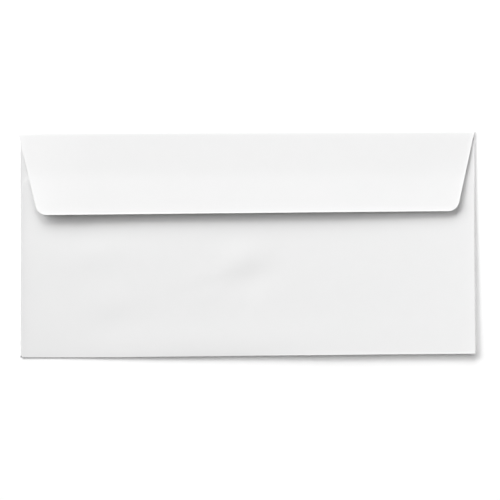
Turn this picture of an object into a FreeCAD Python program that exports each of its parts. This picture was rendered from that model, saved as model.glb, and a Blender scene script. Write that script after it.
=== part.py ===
import FreeCAD, Part

import math
import os

import Sketcher
from FreeCAD import Matrix, Placement, Rotation, Vector

# A wallet envelope folded from one die-cut sheet of paper, seen from its back with the flap down.
# Millimetres. X runs along the crease, +Y points to the crease, +Z up. The envelope lies on its
# front panel, and the origin is the middle of that panel, on the table.

# Driving sizes: name, value, what it is. Angles are in degrees.
SIZES = (
    ("paper_thickness", 0.15, "one layer of the wove paper"),
    ("envelope_length", 220, "left fold to right fold"),
    ("envelope_height", 110, "bottom fold to top crease"),
    ("side_fold_gap", 0.25, "clear space between the front panel and a side flap"),
    ("side_flap_width", 9.5, "side fold to the side flap's inner edge"),
    ("side_flap_head", 5, "top crease to the side flap's upper corner"),
    ("side_flap_foot", 3, "bottom fold to the side flap's lower corner"),
    ("side_flap_slant", 3.5, "how far each end of a side flap slants in"),
    ("back_panel_inset", 1, "side fold to the back panel's cut edge"),
    ("throat_depth", 20.5, "top crease to the back panel's free edge"),
    ("throat_corner_radius", 8, "rounded ends of the throat"),
    ("crease_gap", 0.5, "clear space inside the top crease"),
    ("flap_depth_left", 40.9, "top crease to the flap's free edge at the left fold"),
    ("flap_depth_right", 39.5, "top crease to the flap's free edge at the right fold"),
    ("flap_shoulder_left", -1.2, "left fold to the start of the flap's slanted side"),
    ("flap_shoulder_right", 0.8, "right fold to the start of the flap's slanted side"),
    ("flap_side_angle", 13.2, "slant of the flap's sides"),
    ("flap_corner_radius", 5.5, "rounded corners of the flap"),
    ("crease_rise_angle", 2.5, "slope of the flap as it leaves the crease"),
    ("crease_run", 18, "length of flap at that slope"),
    ("spring_angle", 4.7, "slope of the flap's sprung part"),
    ("spring_radius", 130, "gentle bend between the two slopes"),
    ("corner_lift", 2, "how far the lower right corner curls off the table"),
    ("curl_reach", 85, "how far in from that corner the curl begins"),
    ("curl_steps", 2, "straight strips that make up the curl"),
)

# Two places closer than this are the same place
SAME_PLACE = 1e-6
# A face that strays less than this from a plane is flat
FLATNESS = 1e-5

document = FreeCAD.newDocument("paper_envelope")
sheet = document.addObject("Spreadsheet::Sheet", "sizes")
for row, (alias, value, meaning) in enumerate(SIZES, start=1):
    sheet.set(f"A{row}", meaning)
    sheet.set(f"B{row}", str(value))
    sheet.setAlias(f"B{row}", alias)
document.recompute()

# Sizes that follow from the driving ones, as expressions that the sketches read
PAPER = "sizes.paper_thickness"
HALF_LENGTH = "sizes.envelope_length / 2"
HALF_HEIGHT = "sizes.envelope_height / 2"
SIDE_FOLD = "(sizes.side_fold_gap / 2 + sizes.paper_thickness)"
BOTTOM_FOLD = "(sizes.side_fold_gap / 2 + sizes.paper_thickness * 1.5)"
CREASE = "(sizes.crease_gap / 2 + sizes.paper_thickness)"


def number(expression):
    """The value that an expression of the size sheet has now."""
    return float(sheet.evalExpression(expression))


def new_body(name):
    """An empty body, named for its panel."""
    body = document.addObject("PartDesign::Body", name)
    body.Label = name
    return body


def new_sketch(body, name, plane):
    """A sketch on one of the body's own origin planes."""
    sketch = body.newObject("Sketcher::SketchObject", name)
    support = next(f for f in body.Origin.OriginFeatures if f.Role == plane)
    sketch.AttachmentSupport = [(support, "")]
    sketch.MapMode = "FlatFace"
    return sketch


def add_line(sketch, start, end):
    """A straight line between two points of the sketch's plane."""
    sketch.addGeometry(Part.LineSegment(Vector(*start, 0), Vector(*end, 0)))


def add_arc(sketch, centre, radius, first, last):
    """An arc that turns anticlockwise from one angle to another, in degrees."""
    circle = Part.Circle(Vector(*centre, 0), Vector(0, 0, 1), radius)
    sketch.addGeometry(Part.ArcOfCircle(circle, math.radians(first), math.radians(last)))


def relate(sketch, kind, *items):
    """The same relation for each item, given as the geometry and points that it joins."""
    for item in items:
        sketch.addConstraint(Sketcher.Constraint(kind, *item))


def dimension(sketch, name, expression, kind, *where):
    """One dimension of a sketch, tied to the size sheet."""
    value = number(expression)
    if kind == "Angle":
        value = math.radians(value)
    index = sketch.addConstraint(Sketcher.Constraint(kind, *where, value))
    sketch.renameConstraint(index, name)
    sketch.setExpression(f"Constraints.{name}", expression)


def outline(sketch, points):
    """A closed outline of straight lines through the points, joined at their ends."""
    count = len(points)
    for index in range(count):
        add_line(sketch, points[index], points[(index + 1) % count])
    relate(sketch, "Coincident", *((index, 2, (index + 1) % count, 1) for index in range(count)))


def pad(body, sketch, length, side="Symmetric"):
    """The sketch made solid, on both sides of its plane or on one."""
    feature = body.newObject("PartDesign::Pad", f"{sketch.Name}_pad")
    feature.Profile = sketch
    feature.SideType = side
    feature.setExpression("Length", length)
    document.recompute()


def round_corners(body, name, radius, corners):
    """Rounds the upright edges that stand at the given corners of a body."""
    base = body.Tip
    edges = []
    for index, edge in enumerate(base.Shape.Edges, start=1):
        start = edge.Vertexes[0].Point
        end = edge.Vertexes[-1].Point
        upright = math.hypot(start.x - end.x, start.y - end.y) < SAME_PLACE
        if upright and any(math.hypot(start.x - x, start.y - y) < SAME_PLACE for x, y in corners):
            edges.append(f"Edge{index}")
    feature = body.newObject("PartDesign::Fillet", name)
    feature.Base = (base, edges)
    feature.setExpression("Radius", radius)
    document.recompute()


def common(name, first, second):
    """What two solids have in common."""
    feature = document.addObject("Part::MultiCommon", name)
    feature.Label = name
    feature.Shapes = [first, second]
    return feature


def fold_section(sketch, edge, radius, width):
    """The section of a fold and of the panel that it turns back over the front panel.

    The fold's outermost line lies at edge, its outer radius is radius, and width is the distance
    from that line to the panel's free edge.
    """
    paper = number(PAPER)
    outer = number(radius)
    middle = (number(f"{edge} - {radius}"), outer)
    free = number(f"{edge} - {width}")
    upper = 2 * outer
    lower = upper - paper
    add_line(sketch, (middle[0], 0), (middle[0], paper))
    add_arc(sketch, middle, outer - paper, -90, 90)
    add_line(sketch, (middle[0], lower), (free, lower))
    add_line(sketch, (free, lower), (free, upper))
    add_line(sketch, (free, upper), (middle[0], upper))
    add_arc(sketch, middle, outer, -90, 90)
    relate(sketch, "Coincident", (0, 2, 1, 1), (1, 2, 2, 1), (2, 2, 3, 1), (3, 2, 4, 1))
    relate(sketch, "Coincident", (4, 2, 5, 2), (5, 1, 0, 1), (1, 3, 5, 3))
    relate(sketch, "Vertical", (0,), (3,), (1, 3, 0, 1), (1, 3, 2, 1), (1, 3, 4, 2))
    relate(sketch, "Horizontal", (2,), (4,))
    relate(sketch, "PointOnObject", (0, 1, -1))
    dimension(sketch, "paper", PAPER, "DistanceY", 0, 1, 0, 2)
    dimension(sketch, "fold_radius", radius, "Radius", 5)
    dimension(sketch, "fold_centre", f"{edge} - {radius}", "DistanceX", -1, 1, 1, 3)
    dimension(sketch, "panel", f"{width} - {radius}", "DistanceX", 3, 1, 1, 3)


def flap_section(sketch, edge, radius, run, reach):
    """The section of the crease and of the flap, which leaves it at one slope and springs up to
    a steeper one over a gentle bend. run and reach are the lengths of the two straight stretches.
    """
    paper = number(PAPER)
    outer = number(radius)
    bend = number("sizes.spring_radius")
    slopes = [math.radians(number(f"sizes.{name}")) for name in ("crease_rise_angle", "spring_angle")]
    along = [Vector(-math.cos(slope), math.sin(slope), 0) for slope in slopes]
    above = [Vector(math.sin(slope), math.cos(slope), 0) for slope in slopes]
    middle = Vector(number(f"{edge} - {radius}"), outer, 0)
    leaves = middle + above[0] * (outer - paper)
    bends = leaves + along[0] * number(run)
    pivot = bends + above[0] * bend
    springs = pivot - above[1] * bend
    ends = springs + along[1] * number(reach)

    def plane_point(point, lift=None):
        """A point in the sketch's plane, on the sheet's lower side or one thickness above it."""
        raised = point if lift is None else point + lift * paper
        return raised.x, raised.y

    turns = [270 - math.degrees(slope) for slope in slopes]
    add_line(sketch, (middle.x, 0), (middle.x, paper))
    add_arc(sketch, plane_point(middle), outer - paper, -90, turns[0] - 180)
    add_line(sketch, plane_point(leaves), plane_point(bends))
    add_arc(sketch, plane_point(pivot), bend, turns[1], turns[0])
    add_line(sketch, plane_point(springs), plane_point(ends))
    add_line(sketch, plane_point(ends), plane_point(ends, above[1]))
    add_line(sketch, plane_point(ends, above[1]), plane_point(springs, above[1]))
    add_arc(sketch, plane_point(pivot), bend - paper, turns[1], turns[0])
    add_line(sketch, plane_point(bends, above[0]), plane_point(leaves, above[0]))
    add_arc(sketch, plane_point(middle), outer, -90, turns[0] - 180)
    relate(sketch, "Coincident", (0, 2, 1, 1), (4, 2, 5, 1), (5, 2, 6, 1), (9, 1, 0, 1))
    relate(sketch, "Coincident", (1, 3, 9, 3), (3, 3, 7, 3))
    relate(sketch, "Tangent", (1, 2, 2, 1), (2, 2, 3, 2), (3, 1, 4, 1))
    relate(sketch, "Tangent", (6, 2, 7, 1), (7, 2, 8, 1), (8, 2, 9, 2))
    relate(sketch, "Perpendicular", (4, 5))
    relate(sketch, "Parallel", (2, 8), (4, 6))
    relate(sketch, "Vertical", (0,), (1, 3, 0, 1))
    relate(sketch, "PointOnObject", (0, 1, -1))
    dimension(sketch, "paper", PAPER, "DistanceY", 0, 1, 0, 2)
    dimension(sketch, "crease_radius", radius, "Radius", 9)
    dimension(sketch, "crease_centre", f"{edge} - {radius}", "DistanceX", -1, 1, 1, 3)
    dimension(sketch, "rise", "180 - sizes.crease_rise_angle", "Angle", 2)
    dimension(sketch, "spring", "180 - sizes.spring_angle", "Angle", 4)
    dimension(sketch, "bend_radius", "sizes.spring_radius", "Radius", 3)
    dimension(sketch, "crease_run", run, "Distance", 2, 1, 2, 2)
    dimension(sketch, "spring_run", reach, "Distance", 4, 1, 4, 2)


# Front panel, flat on the table, from the middle of one fold to the middle of the opposite one
front_panel = new_body("front_panel")
front_outline = new_sketch(front_panel, "front_outline", "XY_Plane")
side = number(f"{HALF_LENGTH} - {SIDE_FOLD}")
top = number(f"{HALF_HEIGHT} - {CREASE}")
bottom = number(f"{BOTTOM_FOLD} - {HALF_HEIGHT}")
outline(front_outline, ((-side, bottom), (side, bottom), (side, top), (-side, top)))
relate(front_outline, "Horizontal", (2,))
relate(front_outline, "Vertical", (1,), (3,))
relate(front_outline, "Symmetric", (0, 1, 0, 2, -2))
dimension(front_outline, "panel_length", f"2 * ({HALF_LENGTH} - {SIDE_FOLD})", "DistanceX", 0, 1, 0, 2)
dimension(front_outline, "to_crease", f"{HALF_HEIGHT} - {CREASE}", "DistanceY", -1, 1, 1, 2)
dimension(front_outline, "to_bottom", f"{HALF_HEIGHT} - {BOTTOM_FOLD}", "DistanceY", 0, 2, -1, 1)
pad(front_panel, front_outline, PAPER, "One side")

# Back panel with the bottom fold, drawn with its fold at +Y and then turned half round
back_panel = new_body("back_panel")
back_section = new_sketch(back_panel, "back_section", "YZ_Plane")
fold_section(
    back_section, HALF_HEIGHT, BOTTOM_FOLD, "(sizes.envelope_height - sizes.throat_depth)"
)
pad(back_panel, back_section, "sizes.envelope_length - 2 * sizes.back_panel_inset")
throat_end = number(f"{HALF_LENGTH} - sizes.back_panel_inset")
throat = number(f"sizes.throat_depth - {HALF_HEIGHT}")
round_corners(
    back_panel, "throat_corners", "sizes.throat_corner_radius", ((-throat_end, throat), (throat_end, throat))
)
back_panel.Placement = Placement(Vector(0, 0, 0), Rotation(Vector(0, 0, 1), 180))

# Right side flap with its fold, cut to its slanted ends, and the left one as its mirror image
side_strip = new_body("side_strip")
side_section = new_sketch(side_strip, "side_section", "XZ_Plane")
fold_section(side_section, HALF_LENGTH, SIDE_FOLD, "sizes.side_flap_width")
pad(side_strip, side_section, "sizes.envelope_height")
side_shape = new_body("side_shape")
side_outline = new_sketch(side_shape, "side_outline", "XY_Plane")
outer_side = number(f"{HALF_LENGTH} + {PAPER}")
foot = number(f"sizes.side_flap_foot - {HALF_HEIGHT}")
head = number(f"{HALF_HEIGHT} - sizes.side_flap_head")
slant = number("sizes.side_flap_slant")
# The outline is twice as wide as the flap, so that only its slanted ends cut the strip
past_inner = number(f"{HALF_LENGTH} - 2 * sizes.side_flap_width")
outline(
    side_outline,
    (
        (outer_side, foot),
        (outer_side, head),
        (past_inner, head - 2 * slant),
        (past_inner, foot + 2 * slant),
    ),
)
relate(side_outline, "Vertical", (0,), (2,))
dimension(side_outline, "outer_side", f"{HALF_LENGTH} + {PAPER}", "DistanceX", -1, 1, 0, 1)
dimension(side_outline, "foot", f"{HALF_HEIGHT} - sizes.side_flap_foot", "DistanceY", 0, 1, -1, 1)
dimension(side_outline, "head", f"{HALF_HEIGHT} - sizes.side_flap_head", "DistanceY", -1, 1, 0, 2)
dimension(side_outline, "inner_side", f"{HALF_LENGTH} - 2 * sizes.side_flap_width", "DistanceX", -1, 1, 2, 1)
dimension(side_outline, "head_slant", "2 * sizes.side_flap_slant", "DistanceY", 1, 2, 1, 1)
dimension(side_outline, "foot_slant", "2 * sizes.side_flap_slant", "DistanceY", 3, 2, 3, 1)
pad(side_shape, side_outline, "sizes.envelope_height")
right_side_flap = common("right_side_flap", side_strip, side_shape)
left_side_flap = document.addObject("Part::Mirroring", "left_side_flap")
left_side_flap.Label = "left_side_flap"
left_side_flap.Source = right_side_flap
left_side_flap.Normal = Vector(1, 0, 0)

# Seal flap with the top crease, cut to its outline
flap_strip = new_body("flap_strip")
flap_profile = new_sketch(flap_strip, "flap_profile", "YZ_Plane")
flap_section(flap_profile, HALF_HEIGHT, CREASE, "sizes.crease_run", "sizes.flap_depth_left")
pad(flap_strip, flap_profile, "sizes.envelope_length")
flap_shape = new_body("flap_shape")
flap_outline = new_sketch(flap_shape, "flap_outline", "XY_Plane")
# The outline starts one paper thickness beyond the crease, so that it takes in all of the fold
OVER_CREASE = f"{PAPER} * tan(sizes.flap_side_angle)"
LEFT_START = f"{HALF_LENGTH} - sizes.flap_shoulder_left + {OVER_CREASE}"
RIGHT_START = f"{HALF_LENGTH} - sizes.flap_shoulder_right + {OVER_CREASE}"
LEFT_DEPTH = f"sizes.flap_depth_left + {PAPER}"
RIGHT_DEPTH = f"sizes.flap_depth_right + {PAPER}"
beyond_crease = number(f"{HALF_HEIGHT} + {PAPER}")
left_corner = (
    number(f"({LEFT_DEPTH}) * tan(sizes.flap_side_angle) - ({LEFT_START})"),
    beyond_crease - number(LEFT_DEPTH),
)
right_corner = (
    number(f"{RIGHT_START} - ({RIGHT_DEPTH}) * tan(sizes.flap_side_angle)"),
    beyond_crease - number(RIGHT_DEPTH),
)
right_start = (number(RIGHT_START), beyond_crease)
left_start = (-number(LEFT_START), beyond_crease)
outline(flap_outline, (left_corner, right_corner, right_start, left_start))
relate(flap_outline, "Horizontal", (2,))
dimension(flap_outline, "beyond_crease", f"{HALF_HEIGHT} + {PAPER}", "DistanceY", -1, 1, 2, 1)
dimension(flap_outline, "right_start", RIGHT_START, "DistanceX", -1, 1, 2, 1)
dimension(flap_outline, "left_start", LEFT_START, "DistanceX", 2, 2, -1, 1)
dimension(flap_outline, "right_side", "90 - sizes.flap_side_angle", "Angle", 1)
dimension(flap_outline, "left_side", "sizes.flap_side_angle - 90", "Angle", 3)
dimension(flap_outline, "left_depth", LEFT_DEPTH, "DistanceY", 0, 1, 3, 1)
dimension(flap_outline, "right_depth", RIGHT_DEPTH, "DistanceY", 0, 2, 2, 1)
pad(flap_shape, flap_outline, "sizes.envelope_height")
round_corners(flap_shape, "flap_corners", "sizes.flap_corner_radius", (left_corner, right_corner))
seal_flap = common("seal_flap", flap_strip, flap_shape)

# The folded sheet, still flat. The side flaps lie against the back panel where they are glued
flat_envelope = document.addObject("Part::MultiFuse", "flat_envelope")
flat_envelope.Label = "flat_envelope"
flat_envelope.Shapes = [front_panel, back_panel, right_side_flap, left_side_flap, seal_flap]
flat_envelope.Refine = True
document.recompute()


def strip_of(shape, outward, start, end):
    """The stretch of a shape between two distances along a level direction."""
    size = shape.BoundBox.DiagonalLength
    box = Part.makeBox(end - start, 2 * size, 2 * size)
    turn = Rotation(Vector(1, 0, 0), outward)
    box.Placement = Placement(turn.multVec(Vector(start, -size, -size)), turn)
    return shape.common(box)


def plain_edge(edge):
    """The same edge, as a plain straight line wherever it is straight."""
    ends = [vertex.Point for vertex in edge.Vertexes]
    if len(ends) == 2 and abs(edge.Length - ends[0].distanceToPoint(ends[1])) < SAME_PLACE:
        return Part.makeLine(*ends)
    return Part.Edge(edge.Curve, edge.FirstParameter, edge.LastParameter)


def plain_face(face):
    """The same face, as a plain plane, or on a fold as the fold's section swept straight along it."""
    wires = [Part.Wire([plain_edge(edge) for edge in wire.OrderedEdges]) for wire in face.Wires]
    if face.findPlane(FLATNESS) is not None:
        return Part.makeFace(wires, "Part::FaceMakerBullseye")
    surface = face.Surface
    u_start, u_end, v_start, v_end = surface.bounds()
    corner = surface.value(u_start, v_start)
    ruling = surface.uIso(u_start)
    ruling_end = surface.value(u_start, v_end)
    if abs(ruling.length() - corner.distanceToPoint(ruling_end)) < SAME_PLACE:
        swept = Part.SurfaceOfExtrusion(surface.vIso(v_start), ruling_end - corner)
    else:
        across = surface.value(u_end, v_start) - corner
        swept = Part.SurfaceOfExtrusion(surface.uIso(u_start), across)
    fold = Part.Face(swept, wires[0])
    fold.validate()
    return fold


def plain_solid(solid):
    """A sheared solid with plain faces, which measure and mesh better than the shear's own."""
    skin = Part.Compound([plain_face(face) for face in solid.Faces])
    skin.sewShape()
    return Part.makeSolid(skin.Shells[0])


def curl_corner(flat):
    """The flat envelope with its lower right corner curled up.

    The curl bends about lines parallel to the diagonal from the lower left to the upper right.
    Its height grows with the square of the distance across them, in straight strips, so that the
    panels keep their thickness and stay glued.
    """
    length = number("sizes.envelope_length")
    height = number("sizes.envelope_height")
    lift = number("sizes.corner_lift")
    reach = number("sizes.curl_reach")
    steps = int(number("sizes.curl_steps"))
    outward = Vector(height, -length, 0).normalize()
    corner = outward.dot(Vector(length / 2, -height / 2, 0))
    start = corner - reach
    width = reach / steps
    strips = [strip_of(flat, outward, -length, start)]
    for step in range(steps):
        near = start + step * width
        far = near + width if step < steps - 1 else length
        rise = lift * ((step + 1) ** 2 - step**2) / steps**2 / width
        base = lift * (step / steps) ** 2
        shear = Matrix()
        shear.A31 = rise * outward.x
        shear.A32 = rise * outward.y
        shear.A34 = base - rise * near
        strip = strip_of(flat, outward, near, far).transformGeometry(shear)
        strips += [plain_solid(solid) for solid in strip.Solids]
    return strips[0].multiFuse(strips[1:])


envelope = document.addObject("Part::Feature", "envelope")
envelope.Label = "envelope"
envelope.Shape = curl_corner(flat_envelope.Shape)
envelope.Placement = Placement()
document.recompute()

# Nothing is written unless every feature is sound and the envelope is one whole sheet
for item in document.Objects:
    if "Invalid" in item.State or "Error" in item.State:
        raise RuntimeError(f"{item.Name} could not be made: {item.State}")
SUB_PARTS = (envelope,)
for part in SUB_PARTS:
    if part.Shape.isNull() or not part.Shape.isValid():
        raise RuntimeError(f"{part.Label} has no valid shape")
if len(envelope.Shape.Solids) != 1:
    raise RuntimeError("the folded sheet has come apart")
# The curl lifts paper and takes none away. The curved faces of the folds are measured roughly
if abs(envelope.Shape.Volume / flat_envelope.Shape.Volume - 1) > 0.001:
    raise RuntimeError("the curl has changed the amount of paper")

os.makedirs("parts", exist_ok=True)
for part in SUB_PARTS:
    part.Shape.exportStep(f"parts/{part.Label}.step")
    box = part.Shape.BoundBox
    print(part.Label, "volume", round(part.Shape.Volume, 1), "cubic mm")
    print("from", round(box.XMin, 3), round(box.YMin, 3), round(box.ZMin, 3))
    print("to", round(box.XMax, 3), round(box.YMax, 3), round(box.ZMax, 3))
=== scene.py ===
"""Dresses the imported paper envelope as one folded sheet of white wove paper, lying on a pale table.

Lengths are in millimetres wherever a name or comment doesn't say otherwise, and turn to metres
only where they reach Blender.
"""

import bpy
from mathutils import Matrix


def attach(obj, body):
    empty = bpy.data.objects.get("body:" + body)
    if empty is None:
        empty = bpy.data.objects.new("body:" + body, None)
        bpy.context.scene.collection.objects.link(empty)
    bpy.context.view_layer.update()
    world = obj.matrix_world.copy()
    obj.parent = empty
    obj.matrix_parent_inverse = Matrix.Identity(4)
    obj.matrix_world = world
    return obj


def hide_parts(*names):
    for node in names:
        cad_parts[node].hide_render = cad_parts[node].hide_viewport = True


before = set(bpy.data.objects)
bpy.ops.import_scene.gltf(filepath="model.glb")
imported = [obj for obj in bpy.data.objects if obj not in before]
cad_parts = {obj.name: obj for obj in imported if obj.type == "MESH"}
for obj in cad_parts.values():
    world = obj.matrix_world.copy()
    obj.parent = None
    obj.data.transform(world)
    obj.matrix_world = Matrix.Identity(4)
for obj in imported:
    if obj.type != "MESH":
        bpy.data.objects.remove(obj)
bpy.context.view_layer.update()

import logging
import math
from dataclasses import dataclass, field
from enum import Enum
from typing import Callable, Iterable, Sequence

import bmesh
import bpy
from mathutils import Vector

LOG = logging.getLogger("envelope")
MM = 0.001
# Two places closer than this are the same place
SAME_PLACE = 0.002
# The picture is square, and this many pixels wide
PICTURE_WIDTH = 500

Test = Callable[[Vector], bool]


def metres(*place: float) -> Vector:
    """A place in metres from one in millimetres."""
    return Vector(place) * MM


def linear_colour(hex_code: str) -> tuple[float, float, float, float]:
    """Turns an sRGB hex colour to the linear values that a shader takes.

    Args:
        hex_code: six hex digits, as in "EEEEEE".

    Returns:
        Red, green, blue and alpha, from 0 to 1.
    """
    channels = (int(hex_code[i : i + 2], 16) / 255 for i in (0, 2, 4))
    red, green, blue = (c / 12.92 if c <= 0.04045 else ((c + 0.055) / 1.055) ** 2.4 for c in channels)
    return red, green, blue, 1.0


def smooth_step(start: float, end: float, value: float) -> float:
    """Rises smoothly from 0 at start to 1 at end."""
    share = min(1.0, max(0.0, (value - start) / (end - start)))
    return share * share * (3 - 2 * share)


def add_node(
    tree: bpy.types.NodeTree,
    kind: str,
    settings: dict | None = None,
    values: dict | None = None,
    links: dict | None = None,
) -> bpy.types.Node:
    """Adds one node to a material or world.

    Args:
        tree: the node tree.
        kind: Blender's name for the node.
        settings: the node's own settings.
        values: values of its sockets, by name or number.
        links: sockets of other nodes that feed its sockets, by name or number.

    Returns:
        The new node.
    """
    node = tree.nodes.new(kind)
    for name, value in (settings or {}).items():
        setattr(node, name, value)
    for name, value in (values or {}).items():
        node.inputs[name].default_value = value
    for name, socket in (links or {}).items():
        tree.links.new(socket, node.inputs[name])
    return node


# ---- modelling by hand, in edit mode


def edit(piece: bpy.types.Object) -> None:
    """Opens a piece in edit mode, with nothing selected."""
    bpy.ops.object.select_all(action="DESELECT")
    piece.select_set(True)
    bpy.context.view_layer.objects.active = piece
    bpy.ops.object.mode_set(mode="EDIT")
    bpy.ops.mesh.select_all(action="DESELECT")


def pick_faces(piece: bpy.types.Object, test: Test) -> None:
    """Selects the faces whose middle passes a test, and nothing else.

    Args:
        piece: the object in edit mode.
        test: takes a place in millimetres.
    """
    bpy.ops.mesh.select_mode(type="FACE")
    bpy.ops.mesh.select_all(action="DESELECT")
    mesh = bmesh.from_edit_mesh(piece.data)
    for face in mesh.faces:
        if test(face.calc_center_median() / MM):
            face.select_set(True)
    bmesh.update_edit_mesh(piece.data)


def pick_edges(piece: bpy.types.Object, test: Test) -> None:
    """Selects the free edges with both ends passing a test, and nothing else.

    Args:
        piece: the object in edit mode.
        test: takes a place in millimetres.
    """
    bpy.ops.mesh.select_mode(type="EDGE")
    bpy.ops.mesh.select_all(action="DESELECT")
    mesh = bmesh.from_edit_mesh(piece.data)
    for edge in mesh.edges:
        if edge.is_boundary and all(test(vertex.co / MM) for vertex in edge.verts):
            edge.select_set(True)
    bmesh.update_edit_mesh(piece.data)


def pull_out(*shift: float) -> None:
    """Extrudes what is selected, and moves it by so many millimetres."""
    bpy.ops.mesh.extrude_region_move(TRANSFORM_OT_translate={"value": metres(*shift)})


def roll_over(centre: Vector, axis: tuple[float, float, float], degrees: float, steps: int) -> None:
    """Spins what is selected about a line, to make a fold."""
    bpy.ops.mesh.spin(steps=steps, angle=math.radians(degrees), center=centre * MM, axis=axis)


@dataclass(frozen=True)
class Cut:
    """An upright cut through the sheet: a point on its line, and the side that falls away."""

    point: Vector
    outward: Vector

    def depth(self, place: Vector) -> float:
        """How far a place lies inside the cut."""
        return (self.point - place).xy.dot(self.outward.xy)

    def moved_in(self, distance: float) -> "Cut":
        """The same cut, so much further in."""
        return Cut(self.point - self.outward * distance, self.outward)

    def make(self, piece: bpy.types.Object, among: Test, trim: bool = True) -> None:
        """Cuts the faces that pass a test.

        Args:
            piece: the object in edit mode.
            among: tells which faces are cut.
            trim: whether what lies outside is taken away, or the cut only adds a line.
        """
        pick_faces(piece, among)
        bpy.ops.mesh.bisect(
            plane_co=self.point * MM, plane_no=self.outward, clear_outer=trim, threshold=1e-8
        )


def rounded(first: Cut, second: Cut, radius: float, chords: int) -> list[Cut]:
    """The cuts that round the corner between two others.

    Args:
        first: one side of the corner.
        second: the other side.
        radius: of the rounding.
        chords: how many short straight cuts make it.

    Returns:
        The cuts, each touching the rounding.
    """
    inner_a, inner_b = first.moved_in(radius), second.moved_in(radius)
    along = Vector((-first.outward.y, first.outward.x, 0))
    centre = inner_a.point + along * (inner_b.depth(inner_a.point) / along.dot(second.outward))
    turn = first.outward.xy.angle_signed(second.outward.xy)
    cuts = []
    for chord in range(chords):
        share = (chord + 0.5) / chords
        outward = first.outward.copy()
        angle = -turn * share
        outward.xy = (
            first.outward.x * math.cos(angle) - first.outward.y * math.sin(angle),
            first.outward.x * math.sin(angle) + first.outward.y * math.cos(angle),
        )
        cuts.append(Cut(centre + outward * radius, outward))
    return cuts


@dataclass(frozen=True)
class Relief:
    """A soft rise or hollow in the paper: its height, and the share of it, from -1 to 1, at each place."""

    name: str
    height: float
    share: Callable[[Vector], float]
    direction: str = "Z"


def press(piece: bpy.types.Object, reliefs: Iterable[Relief]) -> None:
    """Raises and lowers a flat sheet by displacements that vertex groups weigh.

    Args:
        piece: the sheet, in object mode.
        reliefs: all that the sheet gets. Their shares are read from the flat sheet.
    """
    places = [vertex.co / MM for vertex in piece.data.vertices]
    names = []
    for relief in reliefs:
        shares = [relief.share(place) for place in places]
        for way in (1, -1):
            if not any(share * way > 0 for share in shares):
                continue
            name = f"{relief.name}_{'up' if way > 0 else 'down'}"
            group = piece.vertex_groups.new(name=name)
            for index, share in enumerate(shares):
                if share * way > 0:
                    group.add([index], min(share * way, 1.0), "REPLACE")
            lift = piece.modifiers.new(name, "DISPLACE")
            lift.direction = relief.direction
            lift.mid_level = 0
            lift.strength = relief.height * way * MM
            lift.vertex_group = name
            names.append(name)
    for name in names:
        bpy.ops.object.modifier_apply(modifier=name)
    piece.vertex_groups.clear()


@dataclass(frozen=True)
class Dent:
    """A soft dent: below its middle the paper lies low and above it high.

    x and y are its middle, long and high its reach each way, turn the angle of its long way from
    the crease in degrees, and slope the paper's slope at the middle.
    """

    x: float
    y: float
    long: float
    high: float
    turn: float
    slope: float

    def height(self) -> float:
        """How far the paper rises above it and sinks below it."""
        return self.slope * self.high * math.exp(-0.5)

    def share(self, place: Vector) -> float:
        """The share of that height at a place, from -1 to 1."""
        turn = math.radians(self.turn)
        across, up = place.x - self.x, place.y - self.y
        u = (across * math.cos(turn) + up * math.sin(turn)) / self.long
        v = (up * math.cos(turn) - across * math.sin(turn)) / self.high
        return v * math.exp(0.5 - (u * u + v * v) / 2)


# ---- finishes


@dataclass(frozen=True)
class WovePaper:
    """Uncoated white wove paper, formed on a plain wire and calendered lightly.

    To the eye it is dead matt and even, with a faint cloudiness where the fibres lie thicker,
    and a fine tooth. The fibres themselves are 0.03 mm thick, too fine to show, so the tooth is
    drawn at 0.7 mm.
    """

    thick: str = "EFEFEF"
    thin: str = "EDEDED"
    cloud_size: float = 9.0
    tooth_size: float = 0.7
    tooth_height: float = 0.002
    roughness: float = 0.9
    specular_level: float = 0.25

    def material(self) -> bpy.types.Material:
        """Builds the material."""
        material = bpy.data.materials.new("uncoated_wove_paper")
        material.use_nodes = True
        tree = material.node_tree
        shader = tree.nodes["Principled BSDF"]
        place = add_node(tree, "ShaderNodeTexCoord").outputs["Object"]
        cloud = add_node(
            tree,
            "ShaderNodeTexNoise",
            values={"Scale": 1 / (self.cloud_size * MM), "Detail": 3.0, "Roughness": 0.6},
            links={"Vector": place},
        )
        tone = add_node(tree, "ShaderNodeMix", {"data_type": "RGBA"}, links={0: cloud.outputs["Fac"]})
        tone.inputs[6].default_value = linear_colour(self.thick)
        tone.inputs[7].default_value = linear_colour(self.thin)
        tooth = add_node(
            tree,
            "ShaderNodeTexNoise",
            values={"Scale": 1 / (self.tooth_size * MM), "Detail": 2.0},
            links={"Vector": place},
        )
        bump = add_node(
            tree,
            "ShaderNodeBump",
            values={"Strength": 1.0, "Distance": self.tooth_height * MM},
            links={"Height": tooth.outputs["Fac"]},
        )
        tree.links.new(tone.outputs[2], shader.inputs["Base Color"])
        tree.links.new(bump.outputs["Normal"], shader.inputs["Normal"])
        shader.inputs["Roughness"].default_value = self.roughness
        shader.inputs["Specular IOR Level"].default_value = self.specular_level
        return material


def white_to_the_camera(tree: bpy.types.NodeTree) -> bpy.types.NodeSocket:
    """One for the rays that show a background, directly or mirrored or through glass, else 0."""
    path = add_node(tree, "ShaderNodeLightPath").outputs
    mirrored = add_node(
        tree,
        "ShaderNodeMath",
        {"operation": "ADD"},
        links={0: path["Is Camera Ray"], 1: path["Is Glossy Ray"]},
    )
    seen = add_node(
        tree,
        "ShaderNodeMath",
        {"operation": "ADD", "use_clamp": True},
        links={0: mirrored.outputs[0], 1: path["Is Transmission Ray"]},
    )
    return seen.outputs[0]


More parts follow.
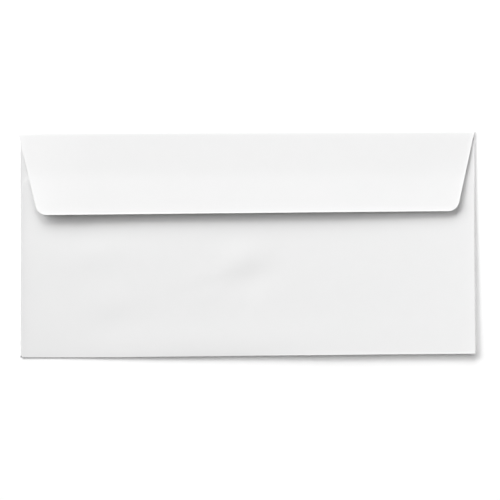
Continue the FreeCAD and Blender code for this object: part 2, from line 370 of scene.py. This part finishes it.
@dataclass(frozen=True)
class TableTop:
    """Smooth white laminate, which takes shadows and otherwise reads as plain white."""

    colour: str = "FDFDFD"
    glow: float = 0.11

    def material(self) -> bpy.types.Material:
        """Builds the material."""
        material = bpy.data.materials.new("white_table_top")
        material.use_nodes = True
        tree = material.node_tree
        tree.nodes.remove(tree.nodes["Principled BSDF"])
        strength = add_node(
            tree,
            "ShaderNodeMath",
            {"operation": "MULTIPLY"},
            {1: self.glow},
            {0: white_to_the_camera(tree)},
        )
        glow = add_node(tree, "ShaderNodeEmission", links={"Strength": strength.outputs[0]})
        matt = add_node(tree, "ShaderNodeBsdfDiffuse", values={"Color": linear_colour(self.colour)})
        both = add_node(tree, "ShaderNodeAddShader", links={0: matt.outputs[0], 1: glow.outputs[0]})
        tree.links.new(both.outputs[0], tree.nodes["Material Output"].inputs["Surface"])
        return material


# ---- the envelope


class End(Enum):
    """The two ends of the envelope, seen from its back."""

    LEFT = -1
    RIGHT = 1


class Panel(Enum):
    """The panels of the folded sheet. A fold counts with the panel that it leads to."""

    FRONT = "front panel"
    BACK = "back panel"
    SIDE = "side flap"
    SEAL = "seal flap"


@dataclass
class FoldedEnvelope:
    """A wallet envelope folded from one sheet, lying on its front with the seal flap down.

    The sheet is drawn as a surface half way through the paper and thickened at the end.
    """

    paper: float = 0.15
    length: float = 220.0
    height: float = 110.0
    side_fold: float = 0.275
    bottom_fold: float = 0.35
    crease: float = 0.58
    side_flap_width: float = 9.5
    side_flap_head: float = 5.0
    side_flap_foot: float = 0.6
    side_flap_slant: float = 0.3655
    back_inset: dict[End, float] = field(default_factory=lambda: {End.LEFT: 1.0, End.RIGHT: 0.6})
    throat_depth: float = 20.5
    throat_radius: float = 8.0
    flap_depth: dict[End, float] = field(default_factory=lambda: {End.LEFT: 41.05, End.RIGHT: 39.65})
    flap_shoulder: dict[End, float] = field(default_factory=lambda: {End.LEFT: -0.95, End.RIGHT: 0.05})
    flap_side_angle: dict[End, float] = field(default_factory=lambda: {End.LEFT: 13.2, End.RIGHT: 12.4})
    flap_radius: float = 5.5
    rise_angle: float = 2.0
    rise_run: float = 18.0
    spring_angle: float = 3.85
    spring_run: float = 5.0
    corner_lift: float = 1.25
    curl_reach: float = 93.0
    curl_power: float = 1.4
    column: float = 2.0
    dents: Sequence[Dent] = (
        Dent(1, -12, 7, 6, 8, 0.045),
        Dent(-6, -17, 5, 8, 0, 0.022),
        Dent(-21, -18.5, 11, 2.5, 15, 0.020),
        Dent(-4, -30, 7, 2.5, 72, 0.030),
        Dent(-80, 2, 22, 9, 0, -0.022),
        Dent(-20, -43, 30, 7, 0, -0.013),
        Dent(-69, -8, 6, 6, 0, 0.014),
        Dent(-66, -34, 8, 6, 0, 0.018),
        Dent(25, -41, 45, 11, 0, -0.008),
        Dent(-35, -8, 35, 24, 0, -0.006),
    )
    finish: WovePaper = field(default_factory=WovePaper)

    def __post_init__(self) -> None:
        """Works out where the folds turn."""
        self.middle = self.paper / 2
        self.side_turn = self.length / 2 - self.side_fold
        self.bottom_turn = self.bottom_fold - self.height / 2
        self.top_turn = self.height / 2 - self.crease
        self.back_end = {end: self.length / 2 - self.back_inset[end] for end in End}
        self.throat = self.height / 2 - self.throat_depth
        self.back_level = 2 * self.bottom_fold - self.middle
        self.side_level = 2 * self.side_fold - self.middle
        self.side_top = self.height / 2 - self.side_flap_head
        self.side_bottom = self.side_flap_foot - self.height / 2
        self.flap_sides = {end: self.flap_side(end) for end in End}
        self.flap_edge = self.flap_free_edge()

    def flap_side(self, end: End) -> Cut:
        """The slanted cut at one end of the seal flap."""
        slant = math.radians(self.flap_side_angle[end])
        outward = Vector((end.value * math.cos(slant), -math.sin(slant), 0))
        return Cut(Vector((end.value * (self.length / 2 - self.flap_shoulder[end]), self.height / 2, 0)), outward)

    def flap_free_edge(self) -> Cut:
        """The cut along the seal flap's free edge, a little deeper at its left end."""
        corners = []
        for end in End:
            side = self.flap_sides[end]
            depth = self.flap_depth[end]
            x = side.point.x - end.value * depth * math.tan(math.radians(self.flap_side_angle[end]))
            corners.append(Vector((x, self.height / 2 - depth, 0)))
        along = (corners[1] - corners[0]).normalized()
        return Cut(corners[0], Vector((along.y, -along.x, 0)))

    # Which panel a place of the flat, folded sheet is on

    def on_front(self, place: Vector) -> bool:
        """On the front panel."""
        return place.z < self.middle + SAME_PLACE

    def on_seal(self, place: Vector) -> bool:
        """On the seal flap or the crease."""
        return place.y > self.top_turn + SAME_PLACE or place.z > self.back_level + 0.05

    def on_side(self, place: Vector) -> bool:
        """On a side flap or its fold."""
        level = abs(place.z - self.side_level) < SAME_PLACE and place.y > self.bottom_turn
        return (level or abs(place.x) > self.side_turn + SAME_PLACE) and not self.on_seal(place)

    def on_back(self, place: Vector) -> bool:
        """On the back panel or the bottom fold."""
        return not (self.on_front(place) or self.on_seal(place) or self.on_side(place))

    def panel(self, place: Vector) -> Panel:
        """The panel that a place is on."""
        if self.on_seal(place):
            return Panel.SEAL
        if self.on_side(place):
            return Panel.SIDE
        return Panel.FRONT if self.on_front(place) else Panel.BACK

    # The sheet, panel by panel

    def lay_front_panel(self) -> bpy.types.Object:
        """Adds the front panel as a grid, with closer lines where the folds will be."""
        wide, high = 2 * self.side_turn, self.top_turn - self.bottom_turn
        bpy.ops.object.select_all(action="DESELECT")
        bpy.ops.mesh.primitive_grid_add(
            x_subdivisions=round(wide / self.column), y_subdivisions=round(high / self.column / 2), size=1
        )
        piece = bpy.context.object
        piece.name = piece.data.name = "envelope_sheet"
        bpy.ops.object.mode_set(mode="EDIT")
        bpy.ops.transform.resize(value=metres(wide, high, 1000))
        bpy.ops.transform.translate(value=metres(0, (self.top_turn + self.bottom_turn) / 2, self.middle))
        for end in End:
            for inset in (0.0, 0.35, 0.8, 1.4, 2.2, 3.2):
                line = Cut(Vector((end.value * (self.back_end[end] - inset), 0, 0)), Vector((1, 0, 0)))
                line.make(piece, self.on_front, trim=False)
        for level in (self.side_bottom, self.side_top):
            Cut(Vector((0, level, 0)), Vector((0, 1, 0))).make(piece, self.on_front, trim=False)
        return piece

    def fold_back_panel(self, piece: bpy.types.Object) -> None:
        """Rolls the bottom fold over and draws the back panel up to the throat."""
        low, high = -self.back_end[End.LEFT] - SAME_PLACE, self.back_end[End.RIGHT] + SAME_PLACE
        pick_edges(piece, lambda p: p.y < self.bottom_turn + SAME_PLACE and low < p.x < high)
        roll_over(Vector((0, self.bottom_turn, self.bottom_fold)), (1, 0, 0), 180, 14)
        left = self.throat - self.bottom_turn
        for step in (0.06, 0.2, 0.3, 0.4, 0.6, 0.8, 1.1, 1.5):
            pull_out(0, step, 0)
            left -= step
        rows = round(left / self.column)
        for _ in range(rows):
            pull_out(0, left / rows, 0)
        top = Cut(Vector((0, self.throat, 0)), Vector((0, 1, 0)))
        for side in End:
            edge = Cut(Vector((side.value * self.back_end[side], 0, 0)), Vector((side.value, 0, 0)))
            for cut in rounded(edge, top, self.throat_radius, 9):
                cut.make(piece, lambda p: self.on_back(p) and cut.depth(p) < self.throat_radius)

    def fold_side_flap(self, piece: bpy.types.Object, end: End) -> None:
        """Rolls one side fold over and draws its flap in under the back panel."""
        turn = end.value * self.side_turn
        low, high = self.side_bottom - SAME_PLACE, self.side_top + SAME_PLACE
        pick_edges(piece, lambda p: abs(p.x - turn) < SAME_PLACE and low < p.y < high and self.on_front(p))
        roll_over(Vector((turn, 0, self.side_fold)), (0, end.value, 0), 180, 10)
        left = self.side_flap_width - self.side_fold
        for step in (0.06, 0.3, 0.5, 0.8, 1.2, 1.8, 2.2):
            pull_out(-end.value * step, 0, 0)
            left -= step
        pull_out(-end.value * left, 0, 0)
        slant = math.atan(self.side_flap_slant)
        for level, way in ((self.side_top, 1), (self.side_bottom, -1)):
            outward = Vector((-end.value * math.sin(slant), way * math.cos(slant), 0))
            cut = Cut(Vector((end.value * self.length / 2, level, 0)), outward)
            cut.make(piece, lambda p: self.on_side(p) and p.x * end.value > 0)

    def flap_slope(self, travel: float) -> float:
        """The slope of the seal flap, in radians, so far along it from the crease."""
        bend = min(1.0, max(0.0, (travel - self.rise_run) / self.spring_run))
        return math.radians(self.rise_angle + bend * (self.spring_angle - self.rise_angle))

    def fold_seal_flap(self, piece: bpy.types.Object) -> None:
        """Rolls the crease over, draws the seal flap down, and cuts its outline."""
        left_turn = -self.side_turn
        self.draw_shoulder(piece, left_turn)
        pick_edges(piece, lambda p: abs(p.y - self.top_turn) < SAME_PLACE and self.on_front(p))
        roll_over(Vector((0, self.top_turn, self.crease)), (-1, 0, 0), 180 - self.rise_angle, 16)
        travel, step = 0.0, 0.1
        while travel < self.flap_depth[End.LEFT] + 1:
            step = min(1.5, 0.1 + travel / 2)
            slope = self.flap_slope(travel + step / 2)
            pull_out(0, -step * math.cos(slope), step * math.sin(slope))
            travel += step
        sides = [self.flap_sides[end] for end in End] + [self.flap_edge]
        for side in sides:
            for distance in (0.35, 0.8, 1.5):
                side.moved_in(distance).make(piece, self.on_seal, trim=False)
        for side in sides:
            side.make(piece, self.on_seal)
        for end in End:
            for cut in rounded(self.flap_sides[end], self.flap_edge, self.flap_radius, 10):
                cut.make(piece, lambda p: self.on_seal(p) and cut.depth(p) < self.flap_radius)

    def draw_shoulder(self, piece: bpy.types.Object, left_turn: float) -> None:
        """Widens the front panel at its upper left corner, where the crease stands proud."""
        pick_edges(
            piece,
            lambda p: abs(p.x - left_turn) < SAME_PLACE and p.y > self.side_top - SAME_PLACE and self.on_front(p),
        )
        for _ in range(2):
            pull_out(-0.9, 0, 0)
        foot = Vector((left_turn, self.side_top, 0))
        tip = self.flap_sides[End.LEFT].point
        along = (tip - foot).normalized()
        shoulder = Cut(foot, Vector((-along.y, along.x, 0)))
        shoulder.make(piece, lambda p: self.on_front(p) and p.x < left_turn + 0.1 and p.y > self.side_top)

    # The sheet's relief. Shares are read on the flat, folded sheet

    def curl(self, place: Vector) -> float:
        """The lower right corner's curl, about lines parallel to the diagonal."""
        outward = Vector((self.height, -self.length, 0)).normalized()
        corner = outward.dot(Vector((self.length / 2, -self.height / 2, 0)))
        past = outward.dot(place) - (corner - self.curl_reach)
        return max(0.0, past / self.curl_reach) ** self.curl_power

    def upper(self, place: Vector) -> float:
        """How far up its fold a place is: 0 on the front panel and 1 on the panel folded over it."""
        panel = self.panel(place)
        if panel in (Panel.FRONT, Panel.SEAL):
            return 0.0
        top = self.side_level if panel is Panel.SIDE else self.back_level
        return min(1.0, (place.z - self.middle) / (top - self.middle))

    def up_crease(self, place: Vector) -> float:
        """How far up the crease a place is: 0 where it leaves the front panel, and 1 from its top on."""
        return min(1.0, max(0.0, place.z - self.middle) / (2 * (self.crease - self.middle)))

    def bottom_bead(self, place: Vector) -> float:
        """The back panel's last rise to the bottom fold, which fades out to the left."""
        if self.panel(place) is not Panel.BACK:
            return 0.0
        fade = smooth_step(-20, 60, place.x)
        return self.upper(place) * fade * math.exp(-max(0.0, place.y - self.bottom_turn) / 0.5)

    def bottom_roll(self, place: Vector) -> float:
        """The folded sheet's rise from the bottom fold, which is pressed flatter along its left half."""
        fade = 1 - smooth_step(-10, 50, place.x) - 0.5 * smooth_step(-30, -90, place.x)
        return self.upper(place) * fade * math.exp(-max(0.0, place.y - self.bottom_turn) / 4)

    def side_ridge(self, place: Vector) -> float:
        """The ridge that a side fold leaves, in both layers, sharper at the left."""
        if self.panel(place) not in (Panel.BACK, Panel.SIDE):
            return 0.0
        inward = max(0.0, self.length / 2 - abs(place.x))
        if place.x > 0:
            return 0.42 * self.upper(place) * math.exp(-inward / 1.6)
        share = 0.6 * math.exp(-inward / 1.2) + 0.4 * math.exp(-inward / 6)
        return self.upper(place) * share * (0.35 + 0.65 * smooth_step(-55, -35, place.y))

    def swell(self, place: Vector) -> float:
        """The empty pocket's slight swell, highest towards the bottom fold."""
        if self.panel(place) is not Panel.BACK:
            return 0.0
        inward = min(place.x + self.length / 2, self.length / 2 - place.x) - self.side_flap_width
        across = smooth_step(0, 75, inward)
        up = place.y - self.bottom_turn
        return self.upper(place) * across * (1 - smooth_step(20, 85, up))

    def flap_lip(self, place: Vector) -> float:
        """The seal flap's cut edges, turned up a hair by the cutting, and down at its left end."""
        if self.panel(place) is not Panel.SEAL:
            return 0.0
        free = math.exp(-max(0.0, self.flap_edge.depth(place)) / 0.9)
        right = math.exp(-max(0.0, self.flap_sides[End.RIGHT].depth(place)) / 0.9)
        left = 0.9 * math.exp(-max(0.0, self.flap_sides[End.LEFT].depth(place)) / 1.5)
        return (max(free, right) - left) * self.up_crease(place)

    def crease_shoulder(self, place: Vector) -> float:
        """The seal flap's last bend into the crease."""
        if self.panel(place) is not Panel.SEAL:
            return 0.0
        return math.exp(-max(0.0, self.top_turn - place.y) / 0.5) * self.up_crease(place)

    def flap_twist(self, place: Vector) -> float:
        """The seal flap stands a little lower at its ends, most at the right."""
        if self.panel(place) is not Panel.SEAL:
            return 0.0
        down = max(0.0, self.top_turn - place.y) / self.flap_depth[End.LEFT]
        right = 0.62 * smooth_step(35, 108, place.x)
        left = 0.09 * smooth_step(0, -60, place.x) - 0.3 * smooth_step(-60, -90, place.x)
        left += 0.5 * smooth_step(-94, -110, place.x)
        return -down * (left + right)

    def crease_pinch(self, place: Vector) -> float:
        """The crease is pressed flatter at its ends, where the side folds stiffen it."""
        if self.panel(place) is not Panel.SEAL:
            return 0.0
        ends = math.exp(-max(0.0, self.length / 2 - abs(place.x)) / 12)
        down = math.exp(-max(0.0, self.top_turn - place.y) / 20)
        return ends * down * self.up_crease(place)

    def corner_slope(self, place: Vector) -> float:
        """The pressed lower left corner, from which the pocket rises slowly."""
        fade = 1 - smooth_step(-95, -25, place.x)
        return self.upper(place) * fade * math.exp(-max(0.0, place.y - self.bottom_turn) / 14)

    def bottom_skew(self, place: Vector) -> float:
        """The bottom fold runs a little lower at its left end."""
        right = 0.2 * smooth_step(-60, 20, place.x) + 0.5 * smooth_step(20, 110, place.x)
        along = right - smooth_step(90, -110, place.x) + 0.4 * smooth_step(-60, -110, place.x)
        return along * smooth_step(-20, -55, place.y)

    def reliefs(self) -> list[Relief]:
        """All that bends the flat, folded sheet, with heights in millimetres."""
        on_back = lambda share: lambda place: share(place) if self.panel(place) is Panel.BACK else 0.0
        return [
            Relief("corner_curl", self.corner_lift, self.curl),
            Relief("bottom_bead", 0.07, self.bottom_bead),
            Relief("bottom_roll", -0.21, self.bottom_roll),
            Relief("corner_slope", -0.18, self.corner_slope),
            Relief("side_ridge", 0.45, self.side_ridge),
            Relief("swell", 0.30, self.swell),
            Relief("flap_lip", 0.15, self.flap_lip),
            Relief("crease_shoulder", -0.08, self.crease_shoulder),
            Relief("flap_twist", 1.0, self.flap_twist),
            Relief("crease_pinch", -0.42, self.crease_pinch),
            Relief("bottom_skew", 0.55, self.bottom_skew, "Y"),
            *(Relief(f"dent_{i}", dent.height(), on_back(dent.share)) for i, dent in enumerate(self.dents)),
        ]

    def thicken(self, piece: bpy.types.Object) -> None:
        """Gives the sheet its thickness, with the cut edges broken a hair."""
        wall = piece.modifiers.new("paper", "SOLIDIFY")
        wall.thickness = self.paper * MM
        wall.offset = 0
        wall.use_rim = True
        bpy.ops.object.modifier_apply(modifier=wall.name)
        edge = piece.modifiers.new("cut_edges", "BEVEL")
        edge.width = 0.02 * MM
        edge.segments = 1
        edge.limit_method = "ANGLE"
        edge.angle_limit = math.radians(60)
        bpy.ops.object.modifier_apply(modifier=edge.name)
        bpy.ops.object.shade_smooth_by_angle(angle=math.radians(35))

    def build(self) -> bpy.types.Object:
        """Folds the sheet, bends it and dresses it.

        Returns:
            The finished piece.
        """
        piece = self.lay_front_panel()
        self.fold_back_panel(piece)
        for end in End:
            self.fold_side_flap(piece, end)
        self.fold_seal_flap(piece)
        bpy.ops.mesh.select_mode(type="VERT")
        bpy.ops.mesh.select_all(action="SELECT")
        bpy.ops.mesh.remove_doubles(threshold=0.01 * MM)
        bpy.ops.mesh.select_all(action="SELECT")
        bpy.ops.mesh.normals_make_consistent(inside=False)
        bpy.ops.object.mode_set(mode="OBJECT")
        press(piece, self.reliefs())
        self.thicken(piece)
        piece.data.materials.clear()
        piece.data.materials.append(self.finish.material())
        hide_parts("envelope")
        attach(piece, "root")
        return piece


# ---- the studio


@dataclass(frozen=True)
class Softbox:
    """A lamp with a wide soft face, at a bearing and height seen from the envelope.

    The distance and the width and height of its face are in metres.
    """

    name: str
    bearing: float
    elevation: float
    distance: float
    wide: float
    tall: float
    power: float

    def build(self) -> bpy.types.Object:
        """Hangs the lamp, turned to the envelope."""
        bearing, elevation = math.radians(self.bearing), math.radians(self.elevation)
        level = math.cos(elevation)
        towards = Vector((level * math.sin(bearing), level * math.cos(bearing), math.sin(elevation)))
        bpy.ops.object.light_add(type="AREA", location=towards * self.distance)
        lamp = bpy.context.object
        lamp.name = lamp.data.name = self.name
        lamp.rotation_euler = towards.to_track_quat("Z", "Y").to_euler()
        lamp.data.shape = "RECTANGLE"
        lamp.data.size, lamp.data.size_y = self.wide, self.tall
        lamp.data.energy = self.power
        lamp.visible_camera = False
        return lamp


@dataclass
class Studio:
    """A pale table lit low from beyond the crease, by two wide softboxes and a weak one at each end."""

    table_size: float = 4.0
    table_drop: float = 0.02
    sky: float = 0.03
    finish: TableTop = field(default_factory=TableTop)
    lamps: Sequence[Softbox] = (
        Softbox("left_key_softbox", -56.0, 24.0, 4.0, 3.0, 2.0, 164.0),
        Softbox("top_key_softbox", -8.0, 24.0, 4.0, 3.0, 2.0, 148.0),
        Softbox("right_fill_softbox", 90.0, 40.0, 0.55, 0.4, 0.4, 0.90),
        Softbox("left_fill_softbox", -95.0, 40.0, 0.55, 0.4, 0.4, 0.41),
    )

    def table(self) -> bpy.types.Object:
        """Lays the table top just under the envelope."""
        bpy.ops.object.select_all(action="DESELECT")
        bpy.ops.mesh.primitive_plane_add(size=self.table_size)
        table = bpy.context.object
        table.name = table.data.name = "table_top"
        bpy.ops.object.mode_set(mode="EDIT")
        bpy.ops.transform.translate(value=metres(0, 0, -self.table_drop))
        bpy.ops.object.mode_set(mode="OBJECT")
        table.data.materials.append(self.finish.material())
        return table

    def surroundings(self) -> None:
        """A weak even light from all round, seen as plain white."""
        world = bpy.data.worlds.new("studio")
        bpy.context.scene.world = world
        world.use_nodes = True
        tree = world.node_tree
        strength = add_node(
            tree,
            "ShaderNodeMix",
            links={0: white_to_the_camera(tree)},
        )
        strength.inputs[2].default_value = self.sky
        strength.inputs[3].default_value = 1.0
        tree.nodes["Background"].inputs["Color"].default_value = linear_colour("FFFFFF")
        tree.links.new(strength.outputs[0], tree.nodes["Background"].inputs["Strength"])

    def build(self) -> None:
        """Builds the table, the lamps and the surroundings."""
        self.table()
        for lamp in self.lamps:
            LOG.info("lamp %s", lamp.build().name)
        self.surroundings()
        bpy.context.scene.view_settings.view_transform = "Standard"


@dataclass
class PortraitCamera:
    """A long lens, far off, leaning a little towards the bottom fold."""

    distance: float = 6.0
    lean: float = 9.6
    roll: float = 0.20
    pixels_per_mm: float = 2.070
    aim: tuple[float, float, float] = (1.07, -2.92, 0.0)
    sensor: float = 36.0

    def build(self) -> bpy.types.Object:
        """Sets the camera up and makes it the scene's own."""
        lean, roll = math.radians(self.lean), math.radians(self.roll)
        back = Vector((-math.sin(roll) * math.sin(lean), -math.cos(roll) * math.sin(lean), math.cos(lean)))
        place = metres(*self.aim) + back * self.distance
        bpy.ops.object.camera_add(location=place)
        camera = bpy.context.object
        camera.name = camera.data.name = "portrait_camera"
        camera.rotation_euler = back.to_track_quat("Z", "Y").to_euler()
        camera.data.sensor_width = self.sensor
        camera.data.lens = self.sensor * self.distance / (PICTURE_WIDTH / self.pixels_per_mm * MM)
        camera.data.clip_start, camera.data.clip_end = 0.1, 2 * self.distance
        bpy.context.scene.camera = camera
        return camera


def main() -> None:
    """Builds the camera, the envelope and the studio."""
    logging.basicConfig(level=logging.INFO, format="%(message)s")
    LOG.info("camera %s", PortraitCamera().build().name)
    piece = FoldedEnvelope().build()
    LOG.info("piece %s: %d faces", piece.name, len(piece.data.polygons))
    Studio().build()


if __name__ == "__main__":
    main()
